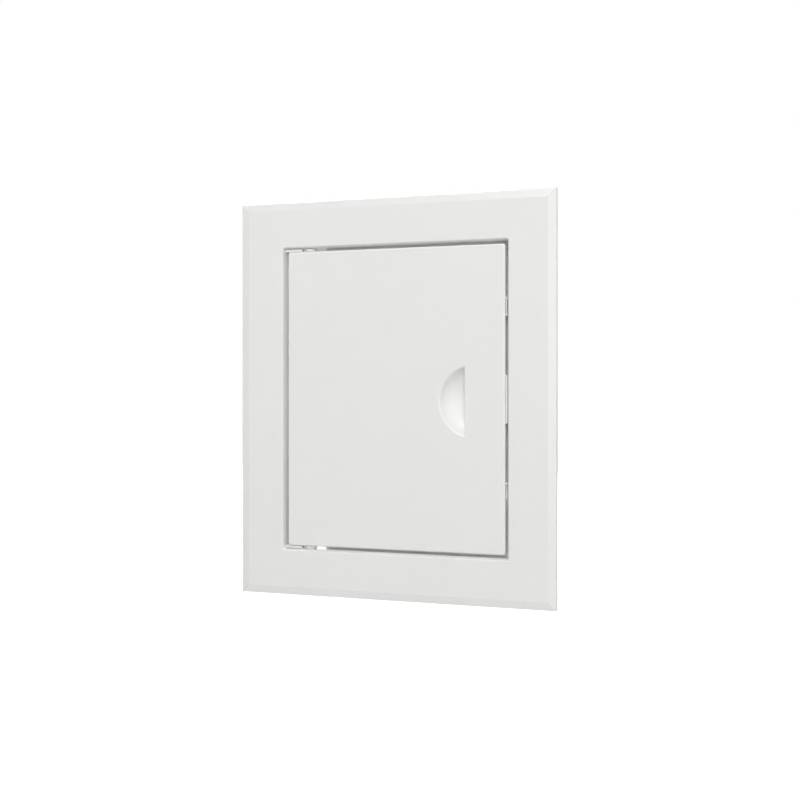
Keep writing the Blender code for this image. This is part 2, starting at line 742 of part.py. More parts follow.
def build_buffer(name, side, grey):
    """A pad on the leaf's free edge, buttoned through a slot in the skirt."""
    front, back = buffer_depths()
    z = side * BUFFER_Z
    half = BUFFER_LEN / 2
    neck = BUFFER_NECK_LEN / 2
    middle = (front + back) / 2
    pad_in = LEAF_RIGHT + CLEAR
    pad_out = LEAF_RIGHT + BUFFER_SHOW
    round_off = (pad_out - pad_in) / 2

    def pad_ring(x, inset):
        ring = round_rectangle(BUFFER_LEN - 2 * inset, back - front - 2 * inset, BUFFER_CORNER_R, 0.0)
        return [(x, middle + point.z, z + point.x) for point in ring]

    rings = [pad_ring(pad_in, 0.0), pad_ring(pad_out - round_off, 0.0), pad_ring(pad_out, round_off)]
    pad = mesh_piece(name, loft(rings), PARTS, grey)
    head_right = SKIRT_INSIDE - CLEAR
    join(pad, f"{name}_neck", box(
        (head_right - SINK, front + BUFFER_SHOW, z - neck),
        (pad_in + round_off / 2, back - BUFFER_SHOW, z + neck)))
    join(pad, f"{name}_head", box(
        (head_right - BUFFER_HEAD_T, front, z - half), (head_right, back, z + half)))
    smooth(pad)
    return pad


clear_scene()
PARTS = new_collection("ceiling_access_panel")
TOOLS = new_collection("cutters")

WHITE = panel_white()
HINGE_WHITE = hinge_white()
GREY = buffer_grey()
STEEL = zinc_steel()

build_frame(WHITE)
build_leaf(WHITE)
for side_name, side_sign in (("upper", 1), ("lower", -1)):
    build_socket(f"{side_name}_hinge_socket", side_sign, HINGE_WHITE)
    build_pin(f"{side_name}_hinge_pin", side_sign, HINGE_WHITE)
    build_buffer(f"{side_name}_edge_buffer", side_sign, GREY)
build_tongue(HINGE_WHITE)
build_spring(STEEL)
build_cover(HINGE_WHITE)
for screw_name, screw_place in zip(("lower", "upper"), screw_places()):
    build_screw(f"catch_screw_{screw_name}", screw_place, STEEL)
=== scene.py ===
"""Ceiling access panel: how its pieces look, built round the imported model.

Metres, +Z up, and the front of the panel faces -Y.
"""
import math

import bmesh
import bpy
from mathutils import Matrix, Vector


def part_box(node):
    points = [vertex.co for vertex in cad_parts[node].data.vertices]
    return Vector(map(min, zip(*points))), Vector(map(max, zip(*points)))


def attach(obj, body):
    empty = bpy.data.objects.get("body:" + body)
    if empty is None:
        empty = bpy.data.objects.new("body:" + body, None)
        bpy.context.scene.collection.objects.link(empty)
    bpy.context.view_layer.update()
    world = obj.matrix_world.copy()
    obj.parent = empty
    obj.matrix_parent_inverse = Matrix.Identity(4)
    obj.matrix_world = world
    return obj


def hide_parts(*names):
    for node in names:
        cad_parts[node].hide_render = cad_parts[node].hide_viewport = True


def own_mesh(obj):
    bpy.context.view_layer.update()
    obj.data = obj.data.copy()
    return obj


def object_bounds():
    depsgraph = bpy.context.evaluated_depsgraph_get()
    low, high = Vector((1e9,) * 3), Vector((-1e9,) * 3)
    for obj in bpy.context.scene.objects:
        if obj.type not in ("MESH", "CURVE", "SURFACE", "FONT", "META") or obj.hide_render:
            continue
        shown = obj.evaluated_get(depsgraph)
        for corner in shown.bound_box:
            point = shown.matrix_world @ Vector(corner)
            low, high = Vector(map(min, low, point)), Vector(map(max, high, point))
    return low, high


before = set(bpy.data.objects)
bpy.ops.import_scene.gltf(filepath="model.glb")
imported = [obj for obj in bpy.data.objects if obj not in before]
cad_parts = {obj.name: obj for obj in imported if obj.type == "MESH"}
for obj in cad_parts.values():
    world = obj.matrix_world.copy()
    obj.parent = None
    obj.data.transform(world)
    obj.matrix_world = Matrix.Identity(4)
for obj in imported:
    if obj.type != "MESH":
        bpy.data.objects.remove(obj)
solid_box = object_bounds()
MM = 0.001

# Frame moulding: one piece of white ABS, with a wide flat flange, a shallow mitred bevel round it, a mouth
# that narrows a little inwards and a collar that goes through the board. It is injection moulded in a
# spark-eroded tool, which leaves a very fine grain. A thin line of painted shade darkens two of its mitres.

OPENING_W = 154.0 * MM
OPENING_H = 204.4 * MM
OPENING = (-OPENING_W / 2, OPENING_W / 2, OPENING_H / 2)
OPENING_CORNER = 0.8 * MM
EDGE_LEAN = 0.5 * MM
EDGE_RISE = 1.8 * MM
BEVEL_W = 5.3 * MM
MOUTH_W = 0.9 * MM
MOUTH_DEPTH = 3.0 * MM
MOUTH_ROUND = 0.8 * MM
SEAT_RIM = 9.0 * MM
SEAT_CORNER = 2.0 * MM
RELIEF = 1.0 * MM
COLLAR_WALL = 2.0 * MM
COLLAR_LEAD = 0.7 * MM
COLLAR_ROUND = 0.2 * MM
ROOT_FILLET = 0.5 * MM
TOOL_ROUND = 0.15 * MM
FRAME_LOW, FRAME_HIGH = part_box("frame")
MARGIN = FRAME_HIGH.x - OPENING_W / 2
FRONT = FRAME_LOW.y
COLLAR_END = FRAME_HIGH.y
CORNER_STEPS = 8
PANEL_WHITE = (0.90, 0.898, 0.884)
# Painted shade on two mitres: the widths of its dark core and soft edge, and how much it darkens.
MITRE_SHADE_CORE = 0.10 * MM
MITRE_SHADE_EDGE = 0.42 * MM
MITRE_SHADE_STRENGTH = 0.16
LIGHT_DEPTH = 0.7 * MM
DRIFT_SCALE = 14.0
MOTTLE_SCALE = 520.0
GRAIN_SCALE = 3400.0


def ring(outline, out, y, corner):
    """A rectangle of (left, right, half height), pushed out evenly, as points at depth y."""
    left, right, half_h = outline
    middle = (left + right) / 2
    half_w = (right - left) / 2 + out
    points = []
    for quarter, (side_x, side_z) in enumerate(((1, 1), (-1, 1), (-1, -1), (1, -1))):
        for step in range(CORNER_STEPS + 1):
            angle = math.radians(90 * (quarter + step / CORNER_STEPS))
            points.append(Vector((
                middle + side_x * (half_w - corner) + corner * math.cos(angle),
                y,
                side_z * (half_h + out - corner) + corner * math.sin(angle))))
    return points


def rounded_section(corners, steps=6, closed=True):
    """A section from corners of (out, y, rounding, plan corner), each of them rounded."""
    points = []
    for i, (out, y, rounding, plan) in enumerate(corners):
        if not closed and i in (0, len(corners) - 1):
            points.append((out, y, plan))
            continue
        here = Vector((out, y))
        back = (Vector(corners[i - 1][:2]) - here).normalized()
        ahead = (Vector(corners[(i + 1) % len(corners)][:2]) - here).normalized()
        turn = back.angle(ahead)
        reach = rounding / math.tan(turn / 2)
        centre = here + (back + ahead).normalized() * rounding / math.sin(turn / 2)
        start = here + back * reach - centre
        sweep = start.angle_signed(here + ahead * reach - centre)
        for step in range(steps + 1):
            angle = -sweep * step / steps
            spoke = Vector((
                start.x * math.cos(angle) - start.y * math.sin(angle),
                start.x * math.sin(angle) + start.y * math.cos(angle)))
            points.append((*(centre + spoke), plan))
    return points


def loft(rings, closed=False):
    """A solid through rings of points, which comes back to its first ring or ends in flat caps."""
    shape = bmesh.new()
    loops = [[shape.verts.new(point) for point in points] for points in rings]
    for lower, upper in zip(loops, loops[1:] + (loops[:1] if closed else [])):
        for i, corner in enumerate(lower):
            j = (i + 1) % len(lower)
            shape.faces.new((corner, lower[j], upper[j], upper[i]))
    if not closed:
        shape.faces.new(loops[0])
        shape.faces.new(loops[-1])
    bmesh.ops.recalc_face_normals(shape, faces=shape.faces)
    return shape


def new_object(name, shape):
    """A linked object of the given name, with the shape as its mesh."""
    mesh = bpy.data.meshes.new(name)
    shape.to_mesh(mesh)
    shape.free()
    piece = bpy.data.objects.new(name, mesh)
    bpy.context.scene.collection.objects.link(piece)
    return piece


class Term:
    """A socket of a node tree that takes part in sums, in materials and in geometry alike."""

    def __init__(self, tree, socket=None):
        self.tree = tree
        self.socket = socket

    def node(self, kind, settings=None, inputs=None, output=0):
        """A node with its settings made first, then its sockets set or linked."""
        made = self.tree.nodes.new(kind)
        for name, value in (settings or {}).items():
            setattr(made, name, value)
        for name, value in (inputs or {}).items():
            if isinstance(value, (Term, list)):
                for source in value if isinstance(value, list) else [value]:
                    self.tree.links.new(source.socket, made.inputs[name])
            else:
                made.inputs[name].default_value = value
        return Term(self.tree, made.outputs[output])

    def other(self, name):
        """Another output of the same node."""
        return Term(self.tree, self.socket.node.outputs[name])

    def maths(self, operation, *values):
        """A maths node of the given values."""
        return self.node("ShaderNodeMath", {"operation": operation}, dict(enumerate(values)))

    def __add__(self, value):
        return self.maths("ADD", self, value)

    def __radd__(self, value):
        return self.maths("ADD", value, self)

    def __sub__(self, value):
        return self.maths("SUBTRACT", self, value)

    def __rsub__(self, value):
        return self.maths("SUBTRACT", value, self)

    def __mul__(self, value):
        return self.maths("MULTIPLY", self, value)

    def __rmul__(self, value):
        return self.maths("MULTIPLY", value, self)

    def __truediv__(self, value):
        return self.maths("DIVIDE", self, value)

    def __gt__(self, value):
        return self.maths("GREATER_THAN", self, value)

    def __abs__(self):
        return self.maths("ABSOLUTE", self)

    def between(self, low, high):
        """Zero below low, one above high, and smooth between them."""
        return self.node(
            "ShaderNodeMapRange", {"interpolation_type": "SMOOTHSTEP"},
            {"Value": self, "From Min": low, "From Max": high, "To Min": 0.0, "To Max": 1.0})

    def point(self, x=0.0, y=0.0, z=0.0):
        """A vector of three numbers or Terms."""
        return self.node("ShaderNodeCombineXYZ", None, {"X": x, "Y": y, "Z": z})


def new_finish(name, roughness, metallic=0.0):
    """A material with its shader's fixed values, and a Term to start its sums from."""
    material = bpy.data.materials.new(name)
    material.use_nodes = True
    shader = material.node_tree.nodes["Principled BSDF"]
    shader.inputs["Roughness"].default_value = roughness
    shader.inputs["Metallic"].default_value = metallic
    if metallic == 0.0:
        shader.inputs["Subsurface Weight"].default_value = 1.0
        shader.inputs["Subsurface Radius"].default_value = (1.0, 1.0, 1.0)
        shader.inputs["Subsurface Scale"].default_value = LIGHT_DEPTH
    return material, shader, Term(material.node_tree)


def noise(start, place, scale, detail=2.0, roughness=0.5):
    """A noise texture at a place, as a number round one half."""
    return start.node("ShaderNodeTexNoise", None, {
        "Vector": place, "Scale": scale, "Detail": detail, "Roughness": roughness})


def tinted(start, color, strength):
    """A colour made darker or lighter evenly in its channels by a number."""
    return start.node(
        "ShaderNodeVectorMath", {"operation": "MULTIPLY"},
        {0: color, 1: start.point(strength, strength, strength)})


def moulded_white(name, color, roughness, grain=0.004 * MM, shade_mitres=False):
    """Moulded plastic: spark-eroded grain, a faint drift in tone, and painted shade along two mitres if
    asked.
    """
    material, shader, start = new_finish(name, roughness)
    place = start.node("ShaderNodeTexCoord", output="Object")
    drift = noise(start, place, DRIFT_SCALE)
    mottle = noise(start, place, MOTTLE_SCALE, 3.0, 0.6)
    tone = 1.0 + (drift - 0.5) * 0.022 + (mottle - 0.5) * 0.030
    if shade_mitres:
        x = start.node("ShaderNodeSeparateXYZ", None, {"Vector": place})
        z = x.other("Z")
        off_mitre = abs(abs(x) - abs(z) + (OPENING_H - OPENING_W) / 2)
        bevel_start = FRAME_HIGH.x - EDGE_LEAN - BEVEL_W
        on_bevel = abs(x).between(bevel_start, bevel_start + EDGE_LEAN)
        # Painted shade: a thin dark line tinted into the colour on the bevel's mitres at the top-right and
        # bottom-left corners.
        painted_mitre_shade = (1.0 - off_mitre.between(MITRE_SHADE_CORE, MITRE_SHADE_EDGE)) * on_bevel * ((x * z) > 0.0)
        tone = tone * (1.0 - painted_mitre_shade * MITRE_SHADE_STRENGTH)
    material.node_tree.links.new(tinted(start, color, tone).socket, shader.inputs["Base Color"])
    fine = noise(start, place, GRAIN_SCALE, 2.0, 0.55)
    gloss = roughness + (fine - 0.5) * 0.10 + (mottle - 0.5) * 0.06
    material.node_tree.links.new(gloss.socket, shader.inputs["Roughness"])
    height = fine * 0.6 + mottle * 0.4
    bump = start.node("ShaderNodeBump", None, {"Strength": 0.5, "Distance": grain, "Height": height})
    material.node_tree.links.new(bump.socket, shader.inputs["Normal"])
    return material


abs_white = moulded_white("abs_white", PANEL_WHITE, 0.30, shade_mitres=True)

flange_corner = 2 * TOOL_ROUND
section = rounded_section((
    (0.0, COLLAR_END, COLLAR_ROUND, OPENING_CORNER),
    (0.0, FRONT + MOUTH_DEPTH, MOUTH_ROUND, OPENING_CORNER),
    (MOUTH_W, FRONT, MOUTH_ROUND, OPENING_CORNER + MOUTH_W),
    (MARGIN - EDGE_LEAN - BEVEL_W, FRONT, TOOL_ROUND, flange_corner),
    (MARGIN - EDGE_LEAN, -EDGE_RISE, TOOL_ROUND, flange_corner),
    (MARGIN, 0.0, TOOL_ROUND, flange_corner),
    (MARGIN - SEAT_RIM, 0.0, TOOL_ROUND, SEAT_CORNER),
    (MARGIN - SEAT_RIM, -RELIEF, TOOL_ROUND, SEAT_CORNER),
    (COLLAR_WALL, -RELIEF, ROOT_FILLET, OPENING_CORNER + COLLAR_WALL),
    (COLLAR_WALL, COLLAR_END - COLLAR_LEAD, TOOL_ROUND, OPENING_CORNER + COLLAR_WALL),
    (COLLAR_WALL - COLLAR_LEAD, COLLAR_END, TOOL_ROUND, OPENING_CORNER + COLLAR_WALL - COLLAR_LEAD),
))
frame_moulding = new_object(
    "frame_moulding", loft([ring(OPENING, *point) for point in section], closed=True))

# Gussets of the frame: thin triangles moulded on between the flange's back and the collar, four on
# each side and three on each end. Ejector pins leave round marks on the flange's back.

GUSSET_FOOT = 6.0 * MM
GUSSET_RISE = 12.0 * MM
GUSSET_T = 1.6 * MM
GUSSET_EDGE = 0.18 * MM
SINK = 0.4 * MM
gusset_outline = (
    (-SINK, -RELIEF - SINK), (GUSSET_FOOT, -RELIEF - SINK), (GUSSET_FOOT, -RELIEF + SINK),
    (0.0, GUSSET_RISE - RELIEF), (-SINK, GUSSET_RISE - RELIEF))
gusset_shape = loft([
    [Vector((x, y, z)) for x, y in gusset_outline] for z in (-GUSSET_T / 2, GUSSET_T / 2)])
bmesh.ops.bevel(
    gusset_shape, geom=gusset_shape.edges[:], offset=GUSSET_EDGE, segments=2, profile=0.5, affect="EDGES")
one_gusset = new_object("one_gusset", gusset_shape)


def plain_mesh(piece):
    """Keep what an object's modifiers make as its own mesh."""
    bpy.context.view_layer.update()
    mesh = bpy.data.meshes.new_from_object(piece.evaluated_get(bpy.context.evaluated_depsgraph_get()))
    piece.modifiers.clear()
    piece.data = mesh
    return piece


def size_tree(name, sizes):
    """An empty geometry tree with a named input for each size, and a Term on each of them."""
    tree = bpy.data.node_groups.new(name, "GeometryNodeTree")
    tree.interface.new_socket(name="Geometry", in_out="OUTPUT", socket_type="NodeSocketGeometry")
    for label, value in sizes.items():
        kind = "NodeSocketInt" if isinstance(value, int) else "NodeSocketFloat"
        tree.interface.new_socket(name=label, in_out="INPUT", socket_type=kind)
    entry = tree.nodes.new("NodeGroupInput")
    return Term(tree), {label: Term(tree, entry.outputs[label]) for label in sizes}


def whole_tree(shape, finish):
    """End a geometry tree: its copies made real and given their material."""
    solid = shape.node("GeometryNodeRealizeInstances", None, {"Geometry": shape})
    dressed = shape.node("GeometryNodeSetMaterial", None, {"Geometry": solid, "Material": finish})
    way_out = shape.tree.nodes.new("NodeGroupOutput")
    shape.tree.links.new(dressed.socket, way_out.inputs["Geometry"])
    return shape.tree


def grown(name, tree, sizes):
    """The plain mesh that a geometry tree makes once its inputs are set."""
    piece = new_object(name, bmesh.new())
    growth = piece.modifiers.new("growth", "NODES")
    growth.node_group = tree
    for item in tree.interface.items_tree:
        if item.in_out == "INPUT":
            growth[item.identifier] = sizes[item.name]
    return plain_mesh(piece)


def placed_row(start, shape, count, step, reach, turn):
    """Copies in a row along z, moved out along x, then turned about the opening's middle."""
    line = start.node("GeometryNodeMeshLine", {"mode": "OFFSET"}, {
        "Count": count, "Start Location": start.point(z=(count - 1) * step * -0.5),
        "Offset": start.point(z=step)})
    row = start.node("GeometryNodeInstanceOnPoints", None, {"Points": line, "Instance": shape})
    out = start.node("GeometryNodeTransform", None, {"Geometry": row, "Translation": start.point(x=reach)})
    return start.node("GeometryNodeTransform", None, {
        "Geometry": out, "Rotation": (0.0, math.radians(turn), 0.0)})


gusset_sizes = {
    "Side count": 4, "Side step": OPENING_H / 5, "Side reach": OPENING_W / 2 + COLLAR_WALL,
    "End count": 3, "End step": OPENING_W / 4, "End reach": OPENING_H / 2 + COLLAR_WALL}
start, size = size_tree("gussets", gusset_sizes)
gusset = start.node("GeometryNodeObjectInfo", None, {"Object": one_gusset}, "Geometry")
rows = [placed_row(start, gusset, size["Side count"], size["Side step"], size["Side reach"], turn)
        for turn in (0, 180)]
rows += [placed_row(start, gusset, size["End count"], size["End step"], size["End reach"], turn)
         for turn in (90, -90)]
gussets = grown("gussets", whole_tree(
    start.node("GeometryNodeJoinGeometry", None, {"Geometry": rows}), abs_white), gusset_sizes)
bpy.data.objects.remove(one_gusset)

PIN_MARK_R = 2.5 * MM
PIN_MARK_DEPTH = 0.08 * MM
MARK_PATH_OUT = 10.5 * MM
PAST = 1.0 * MM


def pin_marks(start, places, radius):
    """Shallow discs that ejector pins press, at the given points on a face whose back is +y."""
    disc = start.node("GeometryNodeMeshCylinder", None, {
        "Vertices": 28, "Radius": radius, "Depth": 2 * PAST})
    flat = start.node("GeometryNodeTransform", None, {
        "Geometry": disc, "Rotation": (math.radians(90), 0.0, 0.0), "Translation": (0.0, PAST, 0.0)})
    return start.node("GeometryNodeInstanceOnPoints", None, {"Points": places, "Instance": flat})


mark_sizes = {
    "Width": OPENING_W + 2 * (COLLAR_WALL + MARK_PATH_OUT),
    "Height": OPENING_H + 2 * (COLLAR_WALL + MARK_PATH_OUT),
    "Count": 18, "Radius": PIN_MARK_R, "Face": -RELIEF - PIN_MARK_DEPTH}
start, size = size_tree("flange_pin_marks", mark_sizes)
path = start.node("GeometryNodeCurvePrimitiveQuadrilateral", None, {
    "Width": size["Width"], "Height": size["Height"]})
path = start.node("GeometryNodeTransform", None, {
    "Geometry": path, "Rotation": (math.radians(90), 0.0, 0.0), "Translation": start.point(y=size["Face"])})
points = start.node("GeometryNodeCurveToPoints", {"mode": "COUNT"}, {
    "Curve": path, "Count": size["Count"]})
flange_marks = grown(
    "flange_marks", whole_tree(pin_marks(start, points, size["Radius"]), abs_white), mark_sizes)

# Inside of the frame's collar: the stops behind the leaf's skirt, the window for the catch, four fixing
# holes and the two slots that hold the hinge sockets, all in the same moulding.

STOP_FRONT = 6.1 * MM
STOP_BACK = 8.1 * MM
SIDE_STOP_LEFT = 74.0 * MM
END_STOP_LEFT = -49.38 * MM
END_STOP_Z = 98.2 * MM
WALL_X = OPENING_W / 2
WALL_Z = OPENING_H / 2
STOP_ROUND = 0.25 * MM
WINDOW_FRONT = 1.21 * MM
WINDOW_BACK = 5.8 * MM
WINDOW_HALF = 16.25 * MM
FIXING_R = 2.1 * MM
FIXING_Y = 14.0 * MM
FIXING_Z = 50.0 * MM
SOCKET_SLOT_LEFT = -75.1 * MM
SOCKET_SLOT_RIGHT = -68.5 * MM
SOCKET_SLOT_FRONT = 0.3 * MM
SOCKET_SLOT_BACK = 4.9 * MM
ROD_SIDES = 32


def block(low, high, rounding=0.0):
    """A box between two corners, with rounded edges if asked."""
    low, high = Vector(low), Vector(high)
    shape = bmesh.new()
    bmesh.ops.create_cube(shape, size=1.0)
    bmesh.ops.scale(shape, vec=high - low, verts=shape.verts)
    bmesh.ops.translate(shape, vec=(low + high) / 2, verts=shape.verts)
    if rounding:
        bmesh.ops.bevel(
            shape, geom=shape.edges[:], offset=rounding, segments=3, profile=0.5, affect="EDGES")
    return shape


def rod(radius, start, end):
    """A round bar between two points that differ in x, y or z."""
    start, end = Vector(start), Vector(end)
    shape = bmesh.new()
    turn = (end - start).to_track_quat("Z", "Y").to_matrix().to_4x4()
    turn.translation = (start + end) / 2
    bmesh.ops.create_cone(
        shape, cap_ends=True, segments=ROD_SIDES, radius1=radius, radius2=radius,
        depth=(end - start).length, matrix=turn)
    return shape


def finished(piece, steps=(), edge=0.0, sharp=32.0):
    """Join or cut the given tools, round the edges if asked, and give the mesh even shading."""
    for operation, tool in steps:
        change = piece.modifiers.new(tool.name, "BOOLEAN")
        change.operation = operation
        change.solver = "EXACT"
        change.object = tool
    if edge:
        soften = piece.modifiers.new("soften", "BEVEL")
        soften.width = edge
        soften.segments = 2
        soften.limit_method = "ANGLE"
        soften.angle_limit = math.radians(sharp)
    plain_mesh(piece)
    piece.data.shade_smooth()
    piece.data.set_sharp_from_angle(angle=math.radians(sharp))
    even = piece.modifiers.new("even_shading", "WEIGHTED_NORMAL")
    even.keep_sharp = True
    even.weight = 100
    plain_mesh(piece)
    for _, tool in steps:
        bpy.data.objects.remove(tool)
    return piece


def dress(piece, finish, body, node):
    """Give a finished piece its material and body, in place of the solid it stands for."""
    piece.data.materials.clear()
    piece.data.materials.append(finish)
    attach(piece, body)
    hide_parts(node)


past_wall_x = WALL_X + COLLAR_WALL + PAST
stops = [block(
    (SIDE_STOP_LEFT, STOP_FRONT, -WALL_Z - SINK), (WALL_X + SINK, STOP_BACK, WALL_Z + SINK), STOP_ROUND)]
for low, high in ((-WALL_Z - SINK, -END_STOP_Z), (END_STOP_Z, WALL_Z + SINK)):
    stops.append(block((END_STOP_LEFT, STOP_FRONT, low), (WALL_X + SINK, STOP_BACK, high), STOP_ROUND))
openings = [block(
    (WALL_X - PAST, WINDOW_FRONT, -WINDOW_HALF), (past_wall_x, WINDOW_BACK, WINDOW_HALF))]
for side in (-1, 1):
    for height in (-FIXING_Z, FIXING_Z):
        openings.append(rod(
            FIXING_R, (side * (WALL_X - PAST), FIXING_Y, height), (side * past_wall_x, FIXING_Y, height)))
    low, high = sorted((side * (WALL_Z - PAST), side * (WALL_Z + COLLAR_WALL + PAST)))
    openings.append(block(
        (SOCKET_SLOT_LEFT, SOCKET_SLOT_FRONT, low), (SOCKET_SLOT_RIGHT, SOCKET_SLOT_BACK, high)))
steps = [("UNION", gussets), ("DIFFERENCE", flange_marks)]
steps += [("UNION", new_object("stop", shape)) for shape in stops]
steps += [("DIFFERENCE", new_object("opening", shape)) for shape in openings]
finished(frame_moulding, steps)
dress(frame_moulding, abs_white, "frame", "frame")

# Leaf moulding: the door itself, white ABS like the frame and moulded in one piece. A flat skin with
# rounded edges carries a skirt all round, and the finger recess is a dish cut off straight on the
# catch side.

LEAF_LOW, LEAF_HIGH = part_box("door_leaf")
LEAF_FRONT = LEAF_LOW.y
LEAF_DEPTH = 8.0 * MM
LEAF_BACK = LEAF_FRONT + LEAF_DEPTH
SKIN_T = 2.0 * MM
SKIN_BACK = LEAF_FRONT + SKIN_T
SKIRT_T = 2.0 * MM
SKIRT_ROUND = 0.2 * MM
LEAF_EDGE_ROUND = 1.0 * MM
LEAF_CORNER = 1.6 * MM
INSIDE_CORNER = 0.8 * MM
CAP_CORNER = 0.6 * MM
LEAF = (LEAF_LOW.x, LEAF_HIGH.x, LEAF_HIGH.z)
leaf_section = rounded_section((
    (-SKIRT_T - ROOT_FILLET - PAST, SKIN_BACK, 0.0, CAP_CORNER),
    (-SKIRT_T, SKIN_BACK, ROOT_FILLET, INSIDE_CORNER),
    (-SKIRT_T, LEAF_BACK, SKIRT_ROUND, INSIDE_CORNER),
    (0.0, LEAF_BACK, SKIRT_ROUND, LEAF_CORNER),
    (0.0, LEAF_FRONT, LEAF_EDGE_ROUND, LEAF_CORNER),
    (-LEAF_EDGE_ROUND - PAST, LEAF_FRONT, 0.0, CAP_CORNER),
), steps=8, closed=False)
leaf_moulding = new_object("leaf_moulding", loft([ring(LEAF, *point) for point in leaf_section]))

DISH_R = 24.8 * MM
DISH_BLEND = 2.2 * MM
DISH_SIDE = math.radians(52.0)
DISH_FILLET = 15.0 * MM
DISH_FLOOR = math.radians(18.0)
DISH_WALL = 2.0 * MM
DISH_INSET = 19.6 * MM
DISH_X = LEAF_HIGH.x - DISH_INSET
DISH_Z = -1.3 * MM
PULL_EDGE_INSET = 26.4 * MM
PULL_EDGE = LEAF_HIGH.x - PULL_EDGE_INSET
DISH_TURNS = 144
DISH_STEPS = 12


def dish_profile(wall):
    """Radius and depth from the dish's middle to its rim, for its face or for the wall's outside."""
    fillet_w = DISH_FILLET * (math.sin(DISH_SIDE) - math.sin(DISH_FLOOR))
    floor_r = (DISH_R - DISH_BLEND * math.sin(DISH_SIDE) - fillet_w) / math.sin(DISH_FLOOR)
    arcs = [(floor_r, 0.0, DISH_FLOOR), (DISH_FILLET, DISH_FLOOR, DISH_SIDE), (-DISH_BLEND, DISH_SIDE, 0.0)]
    deepest = sum(bend * (math.cos(first) - math.cos(last)) for bend, first, last in arcs)
    points = [(0.0, deepest + wall)]
    for bend, first, last in arcs[:2] if wall else arcs:
        radius, depth = points[-1]
        for i in range(1, DISH_STEPS + 1):
            turn = first + (last - first) * i / DISH_STEPS
            points.append((
                radius + (bend + wall) * (math.sin(turn) - math.sin(first)),
                depth - (bend + wall) * (math.cos(first) - math.cos(turn))))
    radius, depth = points[-1]
    if wall:
        points.append((radius + (depth - DISH_WALL / 2) / math.tan(DISH_SIDE), DISH_WALL / 2))
    else:
        points.append((radius, -PAST))
    return points[1:]


def dish(wall, straight_x):
    """The dish as a solid, cut off straight at x."""
    shape = loft([
        [Vector((
            DISH_X + radius * math.cos(math.tau * i / DISH_TURNS),
            LEAF_FRONT + depth,
            DISH_Z + radius * math.sin(math.tau * i / DISH_TURNS))) for i in range(DISH_TURNS)]
        for radius, depth in dish_profile(wall)])
    bmesh.ops.bisect_plane(
        shape, geom=shape.verts[:] + shape.edges[:] + shape.faces[:], dist=MM / 1000,
        plane_co=(straight_x, 0, 0), plane_no=(1, 0, 0), clear_outer=True)
    cut_edges = [edge for edge in shape.edges if edge.is_boundary]
    bmesh.ops.holes_fill(shape, edges=cut_edges, sides=len(cut_edges))
    bmesh.ops.recalc_face_normals(shape, faces=shape.faces)
    return shape


# Back of the leaf: stiffening ribs in rows and columns, bosses for the hinge pins, and the pocket that
# the catch slides in, with a boss for a screw on each side of it. All of it is part of the moulding.

HINGE_X = -63.2 * MM
HINGE_Y = 2.6 * MM
POCKET_LEFT = 60.0 * MM
SKIRT_INSIDE = LEAF_HIGH.x - SKIRT_T
POCKET_HALF = 18.8 * MM
POCKET_WALL = 2.0 * MM
SCREW_X = (POCKET_LEFT + SKIRT_INSIDE) / 2
SCREW_OUT = 3.0 * MM
SCREW_Z = POCKET_HALF + POCKET_WALL + SCREW_OUT
SCREW_BOSS_R = 2.6 * MM
SCREW_HOLE_R = 1.25 * MM
SCREW_HOLE_END = SKIN_BACK + 0.3 * MM
TONGUE_NOTCH_HALF = 15.8 * MM
HINGE_BOSS_R = 3.2 * MM
HINGE_BOSS_END = 87.8 * MM
HINGE_HOLE_R = 1.75 * MM
BUFFER_Z = 59.6 * MM
BUFFER_SLOT_HALF = 4.8 * MM
BUFFER_SLOT_FRONT = 0.8 * MM
BUFFER_SLOT_BACK = 4.8 * MM
RIB_FRONT = SKIN_BACK - SINK
RIB_RISE = 3.5 * MM
ROW_Z = 38.0 * MM
ROW_STEP = 34.0 * MM
COLUMN_INSET = 44.0 * MM
COLUMN_STEP = 38.0 * MM

rib_sizes = {
    "Length": LEAF_HIGH.x - LEAF_LOW.x - 2 * SKIRT_T + 2 * SINK, "Thickness": 1.6 * MM,
    "Draft": 0.3 * MM, "Rise": RIB_RISE + SINK, "Foot": RIB_FRONT,
    "Middle": (LEAF_LOW.x + LEAF_HIGH.x) / 2, "Count": 2, "First": ROW_Z, "Step": ROW_STEP, "Turn": 0.0}
start, size = size_tree("leaf_ribs", rib_sizes)
bar = start.node("GeometryNodeMeshCube", None, {
    "Size": start.point(size["Length"], size["Rise"], size["Thickness"])})
place = start.node("GeometryNodeInputPosition")
up = start.node("ShaderNodeSeparateXYZ", None, {"Vector": place}, "Y") / size["Rise"] + 0.5
drafted = start.node("ShaderNodeVectorMath", {"operation": "MULTIPLY"}, {
    0: place, 1: start.point(1.0, 1.0, 1.0 - up * (size["Draft"] / size["Thickness"]))})
bar = start.node("GeometryNodeSetPosition", None, {"Geometry": bar, "Position": drafted})
line = start.node("GeometryNodeMeshLine", {"mode": "OFFSET"}, {
    "Count": size["Count"], "Offset": start.point(z=size["Step"]),
    "Start Location": start.point(size["Middle"], size["Foot"] + size["Rise"] * 0.5, size["First"])})
bars = start.node("GeometryNodeInstanceOnPoints", None, {"Points": line, "Instance": bar})
rib_tree = whole_tree(start.node("GeometryNodeTransform", None, {
    "Geometry": bars, "Rotation": start.point(y=size["Turn"])}), abs_white)
upper_rows = grown("upper_rows", rib_tree, rib_sizes)
lower_rows = grown("lower_rows", rib_tree, rib_sizes | {"First": -ROW_Z, "Step": -ROW_STEP})
columns = grown("columns", rib_tree, rib_sizes | {
    "Length": 2 * (LEAF_HIGH.z - SKIRT_T + SINK), "Middle": 0.0,
    "First": LEAF_LOW.x + COLUMN_INSET, "Step": COLUMN_STEP, "Turn": math.radians(90)})

